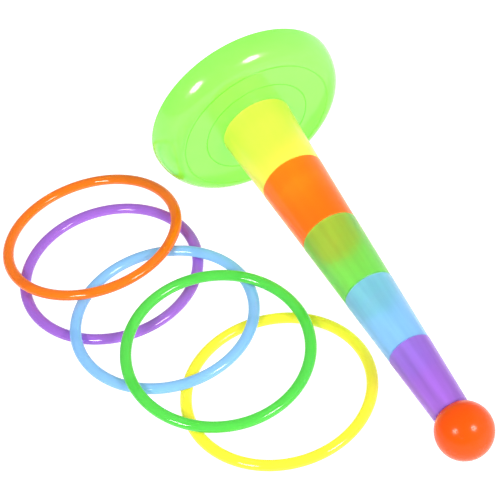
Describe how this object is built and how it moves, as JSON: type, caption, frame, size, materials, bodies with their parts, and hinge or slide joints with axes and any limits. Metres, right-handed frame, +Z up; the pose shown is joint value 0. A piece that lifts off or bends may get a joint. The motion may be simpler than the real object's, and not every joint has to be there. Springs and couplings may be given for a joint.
{
  "type": "stacking ring toy",
  "caption": "Stacking ring toy in clear-coloured plastic: a round base, tapered cones and a ball that plug together, with loose rings, lying as left after play.",
  "frame": {"origin": "on the floor, under the middle of the whole object's box as it lies", "axes": "+Z up from the floor; +X along the lying tower, from the base towards the ball; +Y from the rings towards the tower"},
  "size_m": [0.3738, 0.2594, 0.1366],
  "materials": {
    "lime_plastic": "glossy, clear-tinted",
    "yellow_plastic": "glossy, clear-tinted",
    "orange_plastic": "glossy, clear-tinted",
    "green_plastic": "glossy, clear-tinted",
    "blue_plastic": "glossy, clear-tinted",
    "purple_plastic": "glossy, clear-tinted",
    "red_orange_plastic": "glossy",
    "orange_ring_plastic": "glossy",
    "purple_ring_plastic": "glossy",
    "blue_ring_plastic": "glossy",
    "green_ring_plastic": "glossy",
    "yellow_ring_plastic": "glossy"
  },
  "bodies": {
    "top_ball": {"top_ball": "red_orange_plastic"},
    "cone_purple": {"cone_purple": "purple_plastic"},
    "cone_blue": {"cone_blue": "blue_plastic"},
    "cone_green": {"cone_green": "green_plastic"},
    "cone_orange": {"cone_orange": "orange_plastic"},
    "cone_yellow": {"cone_yellow": "yellow_plastic"},
    "base_disc": {"base_disc": "lime_plastic"},
    "ring_purple": {"ring_purple": "purple_ring_plastic"},
    "ring_yellow": {"ring_yellow": "yellow_ring_plastic"},
    "ring_blue": {"ring_blue": "blue_ring_plastic"},
    "ring_green": {"ring_green": "green_ring_plastic"},
    "ring_orange": {"ring_orange": "orange_ring_plastic"}
  },
  "joints": [
    {"name": "cone_purple_pull", "type": "slide", "parent": "top_ball", "child": "cone_purple", "axis": [-0.9853, 0, 0.1709], "range_m": [0, 0.025]},
    {"name": "cone_blue_pull", "type": "slide", "parent": "cone_purple", "child": "cone_blue", "axis": [-0.9853, 0, 0.1709], "range_m": [0, 0.025]},
    {"name": "cone_green_pull", "type": "slide", "parent": "cone_blue", "child": "cone_green", "axis": [-0.9853, 0, 0.1709], "range_m": [0, 0.025]},
    {"name": "cone_orange_pull", "type": "slide", "parent": "cone_green", "child": "cone_orange", "axis": [-0.9853, 0, 0.1709], "range_m": [0, 0.025]},
    {"name": "cone_yellow_pull", "type": "slide", "parent": "cone_orange", "child": "cone_yellow", "axis": [-0.9853, 0, 0.1709], "range_m": [0, 0.025]},
    {"name": "base_disc_pull", "type": "slide", "parent": "cone_yellow", "child": "base_disc", "axis": [-0.9853, 0, 0.1709], "range_m": [0, 0.025]},
    {"name": "ring_purple_lift", "type": "slide", "parent": "top_ball", "child": "ring_purple", "axis": [0, -0.5, 0.866], "range_m": [0, 0.08]},
    {"name": "ring_yellow_lift", "type": "slide", "parent": "ring_purple", "child": "ring_yellow", "axis": [0, -0.5, 0.866], "range_m": [0, 0.08]},
    {"name": "ring_blue_lift", "type": "slide", "parent": "ring_yellow", "child": "ring_blue", "axis": [0, -0.5, 0.866], "range_m": [0, 0.08]},
    {"name": "ring_green_lift", "type": "slide", "parent": "ring_blue", "child": "ring_green", "axis": [0, -0.5, 0.866], "range_m": [0, 0.08]},
    {"name": "ring_orange_lift", "type": "slide", "parent": "ring_blue", "child": "ring_orange", "axis": [0, -0.5, 0.866], "range_m": [0, 0.08]}
  ]
}
